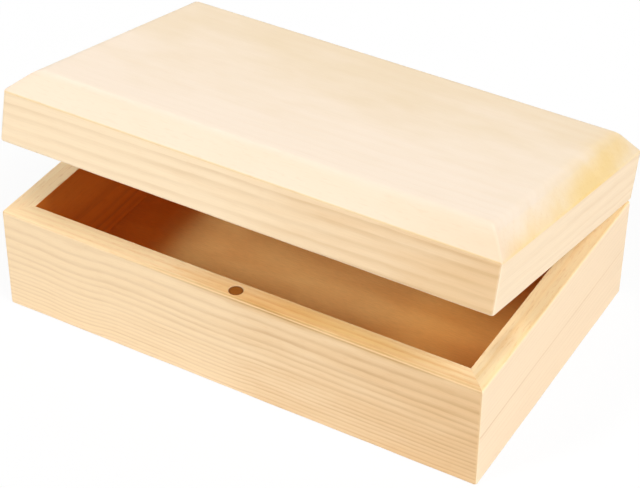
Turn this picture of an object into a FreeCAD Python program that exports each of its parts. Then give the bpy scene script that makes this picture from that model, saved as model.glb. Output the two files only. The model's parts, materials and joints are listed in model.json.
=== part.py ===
# Keepsake box in pine with a hinged lid, standing ajar.
#
# The base is four mitred boards round a thin plywood bottom.  The lid is four mitred rails under
# one bevelled top board.  Two brass butt hinges are let into the back, and a magnet in the front
# rim holds a second magnet in the lid.
#
# Millimetres.  The origin is the centre of the underside, X runs along the box, Y from the front
# to the hinges, and Z up.  The lid's boards are drawn as they lie with the lid closed, and are
# then turned about the hinge axis.  Hinges and screws are drawn about the hinge axis itself.
import FreeCAD, Part
import os

import Sketcher

SIZES = {
    # boards
    "box_length": 220.0,
    "box_depth": 138.0,
    "base_height": 48.0,
    "board_thick": 10.0,
    "arris": 1.0,
    # plywood bottom in its rabbet
    "panel_thick": 3.0,
    "rabbet_width": 5.0,
    "panel_clearance": 0.2,
    # lid
    "rail_height": 21.2,
    "top_edge": 0.8,
    "bevel_width": 9.0,
    "bevel_height": 8.8,
    "closing_gap": 0.3,
    "lid_angle": 13.5,
    # magnet catch
    "magnet_diameter": 6.0,
    "magnet_thick": 3.0,
    "magnet_recess": 0.4,
    "magnet_edge": 0.2,
    # hinges
    "hinge_inset": 45.0,
    "hinge_length": 25.0,
    "leaf_width": 8.0,
    "leaf_thick": 0.9,
    "leaf_clearance": 0.1,
    "knuckle_diameter": 3.0,
    "knuckle_gap": 0.15,
    "pin_diameter": 1.5,
    "pin_offset": 1.6,
    "running_clearance": 0.05,
    # hinge screws
    "screw_spacing": 14.0,
    "screw_inset": 4.6,
    "screw_head": 3.6,
    "screw_shank": 1.8,
    "screw_length": 9.0,
    "screw_point": 1.8,
    "slot_width": 0.5,
    "slot_depth": 0.35,
}
KNUCKLES = 5
FULL_TURN = 360.0

doc = FreeCAD.newDocument("keepsake_box")
sheet = doc.addObject("Spreadsheet::Sheet", "Sizes")
for row, (alias, size) in enumerate(SIZES.items(), start=1):
    sheet.set(f"A{row}", alias)
    sheet.set(f"B{row}", str(size))
    sheet.setAlias(f"B{row}", alias)
doc.recompute()

# Places that several pieces share, as expressions over the sheet.
HALF_LENGTH = "Sizes.box_length / 2"
HALF_DEPTH = "Sizes.box_depth / 2"
RIM = "Sizes.base_height"
LID_UNDERSIDE = f"({RIM} + Sizes.closing_gap)"
LID_SEAM = f"({LID_UNDERSIDE} + Sizes.rail_height)"
HINGE_Y = f"({HALF_DEPTH} + Sizes.pin_offset)"
HINGE_Z = f"({RIM} + Sizes.closing_gap / 2)"
CATCH_Y = f"-({HALF_DEPTH} - Sizes.board_thick / 2)"
HINGES = {"left": f"-({HALF_LENGTH} - Sizes.hinge_inset)", "right": f"({HALF_LENGTH} - Sizes.hinge_inset)"}
SCREWS = {"left": "-Sizes.screw_spacing / 2", "right": "Sizes.screw_spacing / 2"}

nodes = []


def number(expression):
    """The value of an expression over the sheet."""
    result = sheet.evalExpression(expression)
    return float(getattr(result, "Value", result))


def new_body(name):
    body = doc.addObject("PartDesign::Body", name)
    body.Label = name
    return body


def raise_by_lid_angle(piece):
    """Turn a piece, front upwards, by the lid's angle about a line along X."""
    piece.Placement.Rotation = FreeCAD.Rotation(FreeCAD.Vector(-1, 0, 0), number("Sizes.lid_angle"))
    piece.setExpression("Placement.Rotation.Angle", "Sizes.lid_angle")


def open_closed_piece(piece):
    """Swing a piece that is drawn in the closed lid open about the hinge axis."""
    cosine = "cos(Sizes.lid_angle * 1 deg)"
    sine = "sin(Sizes.lid_angle * 1 deg)"
    raise_by_lid_angle(piece)
    piece.setExpression("Placement.Base.y", f"{HINGE_Y} - {HINGE_Y} * {cosine} - {HINGE_Z} * {sine}")
    piece.setExpression("Placement.Base.z", f"{HINGE_Z} + {HINGE_Y} * {sine} - {HINGE_Z} * {cosine}")


def place_on_hinge(piece, hinge_x, on_lid):
    """Put a piece that is drawn about the hinge axis at its hinge, raised with the lid if on it."""
    if on_lid:
        raise_by_lid_angle(piece)
    piece.setExpression("Placement.Base.x", hinge_x)
    piece.setExpression("Placement.Base.y", HINGE_Y)
    piece.setExpression("Placement.Base.z", HINGE_Z)


def new_sketch(body, name, plane, height="0"):
    """Sketch on one of the body's own origin planes, raised by height along the plane's normal."""
    sketch = body.newObject("Sketcher::SketchObject", name)
    support = next(item for item in body.Origin.OriginFeatures if item.Role == plane)
    sketch.AttachmentSupport = (support, [""])
    sketch.MapMode = "FlatFace"
    sketch.setExpression("AttachmentOffset.Base.z", height)
    return sketch


def fix_point(sketch, geometry, vertex, x, y):
    """Hold a point of the sketch at x, y, each an expression over the sheet."""
    for kind, expression in (("DistanceX", x), ("DistanceY", y)):
        index = sketch.addConstraint(
            Sketcher.Constraint(kind, -1, 1, geometry, vertex, number(expression)))
        name = f"{kind}_{geometry}"
        sketch.renameConstraint(index, name)
        sketch.setExpression(f"Constraints.{name}", expression)


def draw_outline(sketch, corners):
    """Closed outline of straight lines through corners, each a pair of expressions."""
    points = [FreeCAD.Vector(number(x), number(y), 0) for x, y in corners]
    lines = [sketch.addGeometry(Part.LineSegment(start, end))
             for start, end in zip(points, points[1:] + points[:1])]
    for line, following in zip(lines, lines[1:] + lines[:1]):
        sketch.addConstraint(Sketcher.Constraint("Coincident", line, 2, following, 1))
    for line, (x, y) in zip(lines, corners):
        fix_point(sketch, line, 1, x, y)


def draw_rectangle(sketch, x_low, x_high, y_low, y_high):
    draw_outline(sketch, [(x_low, y_low), (x_high, y_low), (x_high, y_high), (x_low, y_high)])


def draw_circle(sketch, x, y, diameter):
    centre = FreeCAD.Vector(number(x), number(y), 0)
    circle = sketch.addGeometry(Part.Circle(centre, FreeCAD.Vector(0, 0, 1), number(diameter) / 2))
    fix_point(sketch, circle, 3, x, y)
    index = sketch.addConstraint(Sketcher.Constraint("Diameter", circle, number(diameter)))
    sketch.renameConstraint(index, f"Diameter_{circle}")
    sketch.setExpression(f"Constraints.Diameter_{circle}", diameter)


def pad(body, sketch, name, length, both_ways=False):
    feature = body.newObject("PartDesign::Pad", name)
    feature.Profile = sketch
    feature.SideType = "Symmetric" if both_ways else "One side"
    feature.setExpression("Length", length)
    return feature


def pocket(body, sketch, name, depth=None, upwards=False):
    """Cut a sketch down into the solid to a depth, or up, or right through it both ways."""
    before = body.Shape.Volume
    feature = body.newObject("PartDesign::Pocket", name)
    feature.Profile = sketch
    if depth is None:
        feature.SideType = "Symmetric"
        feature.Type = "ThroughAll"
    else:
        feature.Reversed = upwards
        feature.setExpression("Length", depth)
    doc.recompute()
    if not body.Shape.Volume < before:
        raise RuntimeError(f"{body.Label}: {name} cuts nothing")
    return feature


# ---------------------------------------------------------------------------------------------
# Mitred boards.  Each starts as stock with its section worked along the whole length, and is
# then cut to a mitre at both ends.  "along" is measured from the middle of the board, and "out"
# from the middle of the box towards the board's outer face.
# ---------------------------------------------------------------------------------------------
def stock_section(bottom, top, half_width, rabbeted, eased_top):
    """Corners (out, z) of a board's section, with its outer arrises eased."""
    inner = f"({half_width} - Sizes.board_thick)"
    corners = [(inner, top)]
    if eased_top:
        corners.append((f"({half_width} - Sizes.arris)", top))
        corners.append((half_width, f"{top} - Sizes.arris"))
    else:
        corners.append((half_width, top))
    corners.append((half_width, f"{bottom} + Sizes.arris"))
    corners.append((f"({half_width} - Sizes.arris)", bottom))
    if rabbeted:
        rabbet = f"({inner} + Sizes.rabbet_width)"
        corners.append((rabbet, bottom))
        corners.append((rabbet, f"{bottom} + Sizes.panel_thick"))
        corners.append((inner, f"{bottom} + Sizes.panel_thick"))
    else:
        corners.append((inner, bottom))
    return corners


def mitre_waste(half_length, half_width):
    """Corners (along, out) of what the mitre cut and the eased corner take off one end."""
    beyond = "Sizes.board_thick"
    return [
        (f"({half_length} - Sizes.board_thick - {beyond})", f"({half_width} - Sizes.board_thick - {beyond})"),
        (f"({half_length} - Sizes.arris / 2)", f"({half_width} - Sizes.arris / 2)"),
        (f"({half_length} - Sizes.arris)", half_width),
        (f"({half_length} - Sizes.arris)", f"({half_width} + {beyond})"),
        (f"({half_length} + {beyond})", f"({half_width} + {beyond})"),
        (f"({half_length} + {beyond})", f"({half_width} - Sizes.board_thick - {beyond})"),
    ]


def mitred_board(name, side, bottom, top, rabbeted, eased_top):
    """One board of a mitred frame on the front, back, left or right of the box."""
    runs_along_x = side in ("front", "back")
    half_length, half_width = (HALF_LENGTH, HALF_DEPTH) if runs_along_x else (HALF_DEPTH, HALF_LENGTH)
    outwards = "-" if side in ("front", "left") else ""
    body = new_body(name)

    section = new_sketch(body, f"{name}_section", "YZ_Plane" if runs_along_x else "XZ_Plane")
    draw_outline(section, [(f"{outwards}({out})", z)
                           for out, z in stock_section(bottom, top, half_width, rabbeted, eased_top)])
    pad(body, section, f"{name}_stock", f"2 * {half_length}", both_ways=True)

    cuts = new_sketch(body, f"{name}_mitre_lines", "XY_Plane")
    for end in ("-", ""):
        waste = [(f"{end}({along})", f"{outwards}({out})")
                 for along, out in mitre_waste(half_length, half_width)]
        draw_outline(cuts, waste if runs_along_x else [(out, along) for along, out in waste])
    doc.recompute()
    pocket(body, cuts, f"{name}_mitres")
    return body


def bore_for_magnet(body, level, upwards):
    """Blind bore in the middle of a front board, deep enough to sink the magnet a little."""
    mouth = new_sketch(body, f"{body.Name}_magnet_mouth", "XY_Plane", level)
    draw_circle(mouth, "0", CATCH_Y, "Sizes.magnet_diameter")
    pocket(body, mouth, f"{body.Name}_magnet_bore", "Sizes.magnet_thick + Sizes.magnet_recess", upwards)


def let_in_hinges(body, level, upwards):
    """Mortises as deep as the leaves, open to the back, and a pilot hole under each screw."""
    mortises = new_sketch(body, f"{body.Name}_mortise_lines", "XY_Plane", level)
    for hinge_x in HINGES.values():
        reach = "(Sizes.hinge_length / 2 + Sizes.leaf_clearance)"
        front = f"{HALF_DEPTH} - Sizes.leaf_width - Sizes.leaf_clearance"
        draw_rectangle(mortises, f"{hinge_x} - {reach}", f"{hinge_x} + {reach}", front, HINGE_Y)
    pocket(body, mortises, f"{body.Name}_mortises", "Sizes.leaf_thick", upwards)

    pilots = new_sketch(body, f"{body.Name}_pilot_centres", "XY_Plane", level)
    for hinge_x in HINGES.values():
        for screw_x in SCREWS.values():
            draw_circle(pilots, f"{hinge_x} + {screw_x}", f"{HALF_DEPTH} - Sizes.screw_inset",
                        "Sizes.screw_shank")
    pocket(body, pilots, f"{body.Name}_pilot_holes", "Sizes.screw_length", upwards)


# Base: four boards rabbeted round the underside.
for side in ("front", "back", "left", "right"):
    wall = mitred_board(f"base_{side}_wall", side, "0", RIM, rabbeted=True, eased_top=True)
    if side == "front":
        bore_for_magnet(wall, RIM, upwards=False)
    if side == "back":
        let_in_hinges(wall, RIM, upwards=False)
    nodes.append(wall)

# Plywood bottom, glued up into the rabbet and flush with the underside.
bottom_panel = new_body("base_bottom_panel")
panel_outline = new_sketch(bottom_panel, "base_bottom_panel_outline", "XY_Plane")
panel_inset = "(Sizes.board_thick - Sizes.rabbet_width + Sizes.panel_clearance)"
draw_rectangle(panel_outline,
               f"-({HALF_LENGTH} - {panel_inset})", f"{HALF_LENGTH} - {panel_inset}",
               f"-({HALF_DEPTH} - {panel_inset})", f"{HALF_DEPTH} - {panel_inset}")
pad(bottom_panel, panel_outline, "base_bottom_panel_sheet", "Sizes.panel_thick")
nodes.append(bottom_panel)

# Lid: four rails, square at the top where the board is glued on.
for side in ("front", "back", "left", "right"):
    rail = mitred_board(f"lid_{side}_rail", side, LID_UNDERSIDE, LID_SEAM, rabbeted=False, eased_top=False)
    if side == "front":
        bore_for_magnet(rail, LID_UNDERSIDE, upwards=True)
    if side == "back":
        let_in_hinges(rail, LID_UNDERSIDE, upwards=True)
    open_closed_piece(rail)
    nodes.append(rail)


# ---------------------------------------------------------------------------------------------
# Top board: a narrow upright edge flush with the rails, then one bevel on all four sides.
# ---------------------------------------------------------------------------------------------
def board_outline(sketch, inset):
    """The board's outline, inset from the rails' outer faces, with its four corners eased."""
    reach_x = f"({HALF_LENGTH} - {inset})"
    reach_y = f"({HALF_DEPTH} - {inset})"
    corners = []
    for sign_x, sign_y in (("-", "-"), ("", "-"), ("", ""), ("-", "")):
        along = (f"{sign_x}({reach_x} - Sizes.arris)", f"{sign_y}{reach_y}")
        across = (f"{sign_x}{reach_x}", f"{sign_y}({reach_y} - Sizes.arris)")
        corners += [along, across] if sign_x != sign_y else [across, along]
    draw_outline(sketch, corners)


top_board = new_body("lid_top_board")
edge_outline = new_sketch(top_board, "top_board_edge_outline", "XY_Plane", LID_SEAM)
board_outline(edge_outline, "0")
pad(top_board, edge_outline, "top_board_edge", "Sizes.top_edge")
bevel_foot = new_sketch(top_board, "top_board_bevel_foot", "XY_Plane", f"{LID_SEAM} + Sizes.top_edge")
board_outline(bevel_foot, "0")
bevel_head = new_sketch(top_board, "top_board_bevel_head", "XY_Plane",
                        f"{LID_SEAM} + Sizes.top_edge + Sizes.bevel_height")
board_outline(bevel_head, "Sizes.bevel_width")
doc.recompute()
bevels = top_board.newObject("PartDesign::AdditiveLoft", "top_board_bevels")
bevels.Profile = bevel_foot
bevels.Sections = [bevel_head]
bevels.Ruled = True
open_closed_piece(top_board)
nodes.append(top_board)


# ---------------------------------------------------------------------------------------------
# Magnet catch: a disc sunk just under the rim, and a second one facing it in the lid.
# ---------------------------------------------------------------------------------------------
def magnet(name, foot):
    body = new_body(name)
    outline = new_sketch(body, f"{name}_outline", "XY_Plane", foot)
    draw_circle(outline, "0", CATCH_Y, "Sizes.magnet_diameter")
    disc = pad(body, outline, f"{name}_disc", "Sizes.magnet_thick")
    doc.recompute()
    edges = body.newObject("PartDesign::Chamfer", f"{name}_edges")
    rims = [f"Edge{index}" for index, edge in enumerate(disc.Shape.Edges, start=1)
            if isinstance(edge.Curve, Part.Circle)]
    edges.Base = (disc, rims)
    edges.setExpression("Size", "Sizes.magnet_edge")
    return body


nodes.append(magnet("base_magnet", f"{RIM} - Sizes.magnet_recess - Sizes.magnet_thick"))
lid_magnet = magnet("lid_magnet", f"{LID_UNDERSIDE} + Sizes.magnet_recess")
open_closed_piece(lid_magnet)
nodes.append(lid_magnet)


# ---------------------------------------------------------------------------------------------
# Butt hinges.  A leaf is drawn about the pin, lying just below the hinge axis in the base and
# just above it in the lid, so "side" is the sign of its height.  The leaves' knuckles alternate.
# ---------------------------------------------------------------------------------------------
LEAF_FACE = "(Sizes.closing_gap / 2)"
LEAF_BACK = f"({LEAF_FACE} + Sizes.leaf_thick)"
KNUCKLE_PITCH = f"(Sizes.hinge_length / {KNUCKLES})"
SCREW_Y = "-(Sizes.pin_offset + Sizes.screw_inset)"


def hinge_leaf(name, hinge_x, on_lid):
    side = "" if on_lid else "-"
    body = new_body(name)

    plate = new_sketch(body, f"{name}_plate_section", "YZ_Plane")
    draw_rectangle(plate, "-(Sizes.pin_offset + Sizes.leaf_width)", "0",
                   f"{side}{LEAF_FACE}", f"{side}{LEAF_BACK}")
    pad(body, plate, f"{name}_plate", "Sizes.hinge_length", both_ways=True)
    barrel = new_sketch(body, f"{name}_barrel_section", "YZ_Plane")
    draw_circle(barrel, "0", "0", "Sizes.knuckle_diameter")
    pad(body, barrel, f"{name}_barrel", "Sizes.hinge_length", both_ways=True)
    doc.recompute()

    # the pin is fast in the base's knuckles and turns freely in the lid's
    bore = new_sketch(body, f"{name}_bore_section", "YZ_Plane")
    draw_circle(bore, "0", "0",
                "Sizes.pin_diameter + 2 * Sizes.running_clearance" if on_lid else "Sizes.pin_diameter")
    pocket(body, bore, f"{name}_bore")

    gaps = new_sketch(body, f"{name}_gap_lines", "XY_Plane")
    for knuckle in range(0 if on_lid else 1, KNUCKLES, 2):
        centre = f"({knuckle - (KNUCKLES - 1) / 2} * {KNUCKLE_PITCH})"
        half_gap = f"({KNUCKLE_PITCH} + Sizes.knuckle_gap) / 2"
        draw_rectangle(gaps, f"{centre} - {half_gap}", f"{centre} + {half_gap}",
                       "-(Sizes.knuckle_diameter / 2 + Sizes.leaf_clearance)", "Sizes.knuckle_diameter")
    pocket(body, gaps, f"{name}_gaps")

    for place, screw_x in SCREWS.items():
        sink = body.newObject("PartDesign::SubtractiveCone", f"{name}_{place}_countersink")
        head, shank = ("Radius1", "Radius2") if on_lid else ("Radius2", "Radius1")
        sink.setExpression(head, "Sizes.screw_head / 2")
        sink.setExpression(shank, "Sizes.screw_shank / 2")
        sink.setExpression("Height", "Sizes.leaf_thick")
        sink.setExpression("Placement.Base.x", screw_x)
        sink.setExpression("Placement.Base.y", SCREW_Y)
        sink.setExpression("Placement.Base.z", LEAF_FACE if on_lid else f"-{LEAF_BACK}")
    place_on_hinge(body, hinge_x, on_lid)
    return body


def hinge_pin(name, hinge_x):
    body = new_body(name)
    section = new_sketch(body, f"{name}_section", "YZ_Plane")
    draw_circle(section, "0", "0", "Sizes.pin_diameter")
    pad(body, section, f"{name}_rod", "Sizes.hinge_length", both_ways=True)
    place_on_hinge(body, hinge_x, on_lid=False)
    return body


for hand, hinge_x in HINGES.items():
    nodes.append(hinge_leaf(f"{hand}_hinge_base_leaf", hinge_x, on_lid=False))
    nodes.append(hinge_leaf(f"{hand}_hinge_lid_leaf", hinge_x, on_lid=True))
    nodes.append(hinge_pin(f"{hand}_hinge_pin", hinge_x))


# ---------------------------------------------------------------------------------------------
# Hinge screws: a countersunk head as deep as the leaf, a plain shank, a point and a slot.
# ---------------------------------------------------------------------------------------------
def hinge_screw(name, hinge_x, screw_x, on_lid):
    side = "" if on_lid else "-"
    body = new_body(name)
    half = new_sketch(body, f"{name}_half_section", "XZ_Plane")
    profile = [("0", LEAF_FACE),
               ("Sizes.screw_head / 2", LEAF_FACE),
               ("Sizes.screw_shank / 2", LEAF_BACK),
               ("Sizes.screw_shank / 2", f"({LEAF_FACE} + Sizes.screw_length - Sizes.screw_point)"),
               ("0", f"({LEAF_FACE} + Sizes.screw_length)")]
    draw_outline(half, [(radius, f"{side}{depth}") for radius, depth in profile])
    turned = body.newObject("PartDesign::Revolution", f"{name}_turned")
    turned.Profile = half
    turned.ReferenceAxis = (half, ["V_Axis"])
    turned.Angle = FULL_TURN
    doc.recompute()

    slot = new_sketch(body, f"{name}_slot_lines", "XY_Plane", f"{side}{LEAF_FACE}")
    draw_rectangle(slot, "-Sizes.screw_head", "Sizes.screw_head",
                   "-Sizes.slot_width / 2", "Sizes.slot_width / 2")
    pocket(body, slot, f"{name}_slot", "Sizes.slot_depth", upwards=on_lid)
    body.setExpression("Placement.Base.x", f"{hinge_x} + {screw_x}")
    body.setExpression("Placement.Base.y", SCREW_Y)
    return body


for part_of_box, on_lid in (("base", False), ("lid", True)):
    screws = [hinge_screw(f"{part_of_box}_screw_{hand}_{place}", hinge_x, screw_x, on_lid)
              for hand, hinge_x in HINGES.items()
              for place, screw_x in SCREWS.items()]
    group = doc.addObject("Part::Compound", f"{part_of_box}_hinge_screws")
    group.Links = screws
    place_on_hinge(group, "0", on_lid)
    nodes.append(group)

doc.recompute()

# Nothing is written unless every object is sound.
for item in doc.Objects:
    if {"Invalid", "Error"} & set(item.State):
        raise RuntimeError(f"{item.Name} failed: {item.State}")
for node in nodes:
    if node.Shape.isNull() or not node.Shape.isValid():
        raise RuntimeError(f"{node.Label} has no valid shape")

os.makedirs("parts", exist_ok=True)
for node in nodes:
    node.Shape.exportStep(f"parts/{node.Label}.step")
    box = node.Shape.BoundBox
    print(f"{node.Label:24s} {len(node.Shape.Solids)} solid(s) {node.Shape.Volume:10.1f} mm3   "
          f"x {box.XMin:7.2f} {box.XMax:7.2f}  y {box.YMin:7.2f} {box.YMax:7.2f}  "
          f"z {box.ZMin:7.2f} {box.ZMax:7.2f}")
print(len(nodes), "nodes")
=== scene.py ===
from functools import partial
import json
import math

import bmesh
import bpy
import numpy as np
from mathutils import Euler, Matrix, Vector


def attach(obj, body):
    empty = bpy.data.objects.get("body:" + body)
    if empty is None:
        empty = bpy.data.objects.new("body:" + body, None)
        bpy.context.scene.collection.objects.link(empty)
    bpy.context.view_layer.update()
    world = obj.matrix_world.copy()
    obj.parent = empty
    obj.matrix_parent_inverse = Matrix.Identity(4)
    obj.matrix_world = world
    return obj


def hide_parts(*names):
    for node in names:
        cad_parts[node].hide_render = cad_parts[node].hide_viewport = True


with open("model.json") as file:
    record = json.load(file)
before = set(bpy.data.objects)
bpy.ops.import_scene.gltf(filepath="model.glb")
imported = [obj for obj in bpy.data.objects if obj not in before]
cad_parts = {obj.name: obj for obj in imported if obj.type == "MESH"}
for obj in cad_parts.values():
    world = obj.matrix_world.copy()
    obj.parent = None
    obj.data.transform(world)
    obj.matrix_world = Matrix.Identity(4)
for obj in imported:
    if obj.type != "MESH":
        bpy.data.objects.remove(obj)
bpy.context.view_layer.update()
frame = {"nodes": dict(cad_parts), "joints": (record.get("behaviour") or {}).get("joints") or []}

# ------------------------------------------------------------------------
# Base walls.  Four boards of clear pine, 10 mm thick and mitred at the corners, planed and
# sanded, with the heart side facing in.  Their inner faces are honey brown, deepened to orange
# to paint the warm shade inside the box, most of all on the left wall.  A rabbet round the
# underside takes the bottom, the front rim is bored for a magnet and the back rim is let in for
# two hinges.
MM = 0.001                     # sizes are written in millimetres
HALF_LENGTH, HALF_DEPTH, RIM, BOARD = 110.0, 69.0, 48.0, 10.0
RABBET_WIDTH, RABBET_HEIGHT, RABBET_EASE = 5.0, 3.0, 0.2
SANDED_EASE = (0.85, 1.35)     # how far the easing reaches from the edge, at least and at most
INNER_EASE, GLUED_EASE = 0.35, 0.15     # edges that the hand meets less, and glued edges
MITRE_GROOVE, MITRE_PLAY = 0.07, 0.5    # a mitre's fine line, and where points close up to it
MITRE_LEAN = 15.0              # how far from the corner the points begin to lean to the mitre
SPACING, NEAR_EDGE, CLEAR = 4.0, 0.3, 0.5   # from point to point, to an edge, and to a cut
SHORT_PART = 3.0               # up to this length a straight part gets one point only
MAGNET_BORE, MAGNET_DEPTH, BORE_EASE = 3.0, 3.4, 0.2
PATCH_HALF, PATCH_STEPS = 3.8, 8        # the square of points that the bore is drawn in from
HINGE_X, MORTISE_HALF, MORTISE_FRONT, MORTISE_DEPTH = 65.0, 12.6, 60.9, 0.9
SHARP_FROM = 35.0              # degrees between two faces from which their edge stays sharp
TOUCHING = 0.01                # within which a point lies on a face
WELD, NO_EDGE = 2e-6, 1e-6     # metres within which points are one, and an edge is none
SANDING_WAVES = (5.0, 11.0, 23.0)


def parabola(before, corner, after, steps):
    """Points on (1-t)^2 A + 2t(1-t) P + t^2 B, which rounds the corner P between A and B."""
    t = np.linspace(0, 1, steps + 1)[:, None]
    before, corner, after = np.array(before), np.array(corner), np.array(after)
    return (1 - t) ** 2 * before + 2 * t * (1 - t) * corner + t ** 2 * after


def eased_outline(corners, ease, stops=(), steps=6):
    """Closed outline through (out, z) corners.  Each corner is rounded by a parabola between
    the points that lie `ease` before and after it.  Each straight part gets points close to
    its ends, so that its shading stays flat, or at the distances from its start in `stops`."""
    corners = np.array(corners, float)
    ease = np.broadcast_to(ease, len(corners))[:, None]
    before = np.roll(corners, 1, 0) - corners
    after = np.roll(corners, -1, 0) - corners
    first = corners + ease * before / np.linalg.norm(before, axis=1, keepdims=True)
    last = corners + ease * after / np.linalg.norm(after, axis=1, keepdims=True)
    pieces = []
    for i, corner in enumerate(corners):
        pieces.append(parabola(first[i], corner, last[i], steps))
        start, end = last[i], first[(i + 1) % len(corners)]
        whole = np.linalg.norm(after[i])
        part = np.array([0.5])
        if i in stops:
            part = (stops[i] - ease[i]) / np.linalg.norm(end - start)
        elif whole > SHORT_PART:
            near = NEAR_EDGE / whole
            part = np.linspace(near, 1 - near, 2 + int(whole // SPACING))
        pieces.append(start + (end - start) * part[:, None])
    return np.concatenate(pieces)


def grid_faces(rows, columns, wrap=False):
    """The quads between neighbours of a grid of points that is numbered row by row."""
    index = np.arange(rows * columns).reshape(rows, columns)
    if wrap:
        index = np.hstack([index, index[:, :1]])
    corners = [index[:-1, :-1], index[:-1, 1:], index[1:, 1:], index[1:, :-1]]
    return np.stack(corners, -1).reshape(-1, 4)


def round_hole(centre, half, steps, profile, up):
    """A square patch with a round hole in its middle: the square's edge, walked round with
    `steps` parts a side, is drawn in to circles whose (radius, depth) `profile` gives.
    Depth is measured against `up`, +1 or -1, from the face at height centre[2]."""
    side = np.linspace(-half, half, steps + 1)[:-1]
    x = np.concatenate([side, np.full(steps, half), -side, np.full(steps, -half)])
    y = np.roll(x, steps)
    angle = np.arctan2(y, x)
    rows = [np.stack([x, y, 0 * x], -1)]
    for radius, depth in profile:
        circle = [radius * np.cos(angle), radius * np.sin(angle), 0 * x - up * depth]
        rows.append(np.stack(circle, -1))
    return np.concatenate(rows) + np.array(centre), grid_faces(len(rows), len(x), wrap=True)


def hand_sanding(s, seed):
    """Between 0 and 1 along a board: three slow sine waves, as no hand sands evenly."""
    phases = np.random.default_rng(seed).uniform(0, 2 * math.pi, 3)
    waves = [np.sin(s / length + phase) for length, phase in zip(SANDING_WAVES, phases)]
    return 0.5 + 0.5 * sum(waves) / 3


def board_points(side, bottom, top, seed, meeting):
    """A mitred board: its section, a closed (out, z) outline, is carried along it.  The middle
    runs straight.  Near an end the inner points stop short on the mitre and the outer ones turn
    45 degrees round the corner's upright edge, by the angle theta: along = L + r sin(theta) and
    out = W - R + r cos(theta), where r is how far a point lies outside the corner's centre.
    `meeting` is +1 for a base wall, whose top edge meets the lid and whose foot is rabbeted,
    and -1 for a lid rail, whose bottom edge meets the base and whose top is glued.  The edge
    that meets the other is bored in front and let in behind."""
    long_side = side in ("front", "back")
    half_length, half_width = HALF_LENGTH, HALF_DEPTH
    if not long_side:
        half_length, half_width = HALF_DEPTH, HALF_LENGTH
    inner = half_width - BOARD
    level = top if meeting > 0 else bottom
    corners = [(inner, top), (half_width, top), (half_width, bottom), (inner, bottom)]
    eases = [(INNER_EASE, GLUED_EASE, ease, INNER_EASE) for ease in SANDED_EASE]
    if meeting > 0:
        rabbet, ledge = inner + RABBET_WIDTH, bottom + RABBET_HEIGHT
        corners[3:] = [(rabbet, bottom), (rabbet, ledge), (inner, ledge)]
        eases = [(INNER_EASE, ease, ease, RABBET_EASE, RABBET_EASE, INNER_EASE)
                 for ease in SANDED_EASE]
    patch = np.linspace(-PATCH_HALF, PATCH_HALF, PATCH_STEPS + 1)
    stops = {}
    if side == "front":
        across = BOARD / 2 + patch
        stops = {0: across} if meeting > 0 else {2: BOARD - across[::-1]}
    thin, full = (eased_outline(corners, row, stops) for row in eases)

    # stations along the board: they leave room for the bore, and come in pairs where a mortise
    # begins and ends
    corner_radius = SANDED_EASE[1]
    centre = half_length - corner_radius
    ends = [x + end for x in (-HINGE_X, HINGE_X) for end in (-MORTISE_HALF, MORTISE_HALF)]
    special = np.array({"front": patch, "back": ends * 2}.get(side, []))
    straight = np.linspace(-centre, centre, 2 * int(centre // SPACING) + 1)
    straight = straight[(np.abs(straight[:, None] - special) > CLEAR).all(1)]
    turn = (0.3, 0.6, 0.85, 1.0)
    s = np.concatenate([[-centre] * 4, np.sort(np.concatenate([straight, special])), [centre] * 4])
    e = np.concatenate([turn[::-1], np.zeros(len(s) - 8), turn])[:, None]

    section = thin + hand_sanding(s, seed)[:, None, None] * (full - thin)
    following = np.roll(section, -1, 1) - np.roll(section, 1, 1)
    inwards = np.stack([following[..., 1], -following[..., 0]], -1)
    inwards /= np.linalg.norm(inwards, axis=-1, keepdims=True) + 1e-12
    section = section + MITRE_GROOVE * (e == 1)[..., None] * inwards
    out, z = section[..., 0], section[..., 1]
    if side == "back":
        let_in = np.zeros((len(s), 1), bool)         # of each pair, the station in the mortise
        for x in (-HINGE_X, HINGE_X):
            let_in[np.flatnonzero(np.abs(s - x) < MORTISE_HALF + TOUCHING)[1:-1]] = True
        floor_level = level - meeting * MORTISE_DEPTH
        beyond = (z - floor_level) * meeting > 0
        z = np.where(let_in & (out > MORTISE_FRONT) & beyond, floor_level, z)

    s = s[:, None]
    radius = out - (half_width - corner_radius)
    theta = math.pi / 4 * e
    short = MITRE_PLAY * (1 - e) * np.clip(1 - radius / corner_radius, 0, 1)
    lean = np.clip((np.abs(s) - centre + MITRE_LEAN) / MITRE_LEAN, 0, 1)
    along = np.abs(s) + lean * (np.minimum(radius, 0) - short)
    along = np.sign(s) * (along + np.maximum(radius, 0) * np.sin(theta))
    out = np.where(radius > 0, half_width - corner_radius + radius * np.cos(theta), out)

    rows, columns = out.shape
    faces = grid_faces(rows, columns, wrap=True)
    if side == "front":
        from_bore = np.stack([along, out - inner - BOARD / 2, z - level], -1).reshape(-1, 3)
        middle = np.abs(from_bore[faces].mean(1))
        faces = faces[(middle >= (PATCH_HALF, PATCH_HALF, TOUCHING)).any(1)]
    flip = -1 if side in ("front", "left") else 1
    points = np.stack([along, flip * out, z] if long_side else [flip * out, along, z], -1)
    caps = [range(columns), range((rows - 1) * columns, rows * columns)]
    parts = [(points.reshape(-1, 3), [*faces, *caps])]
    if side == "front":
        bore = [(MAGNET_BORE + BORE_EASE, 0), (MAGNET_BORE, BORE_EASE),
                (MAGNET_BORE, MAGNET_DEPTH), (0, MAGNET_DEPTH)]
        bored_at = (0, flip * (inner + BOARD / 2), level)
        parts.append(round_hole(bored_at, PATCH_HALF, PATCH_STEPS, bore, meeting))
    return parts


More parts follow.
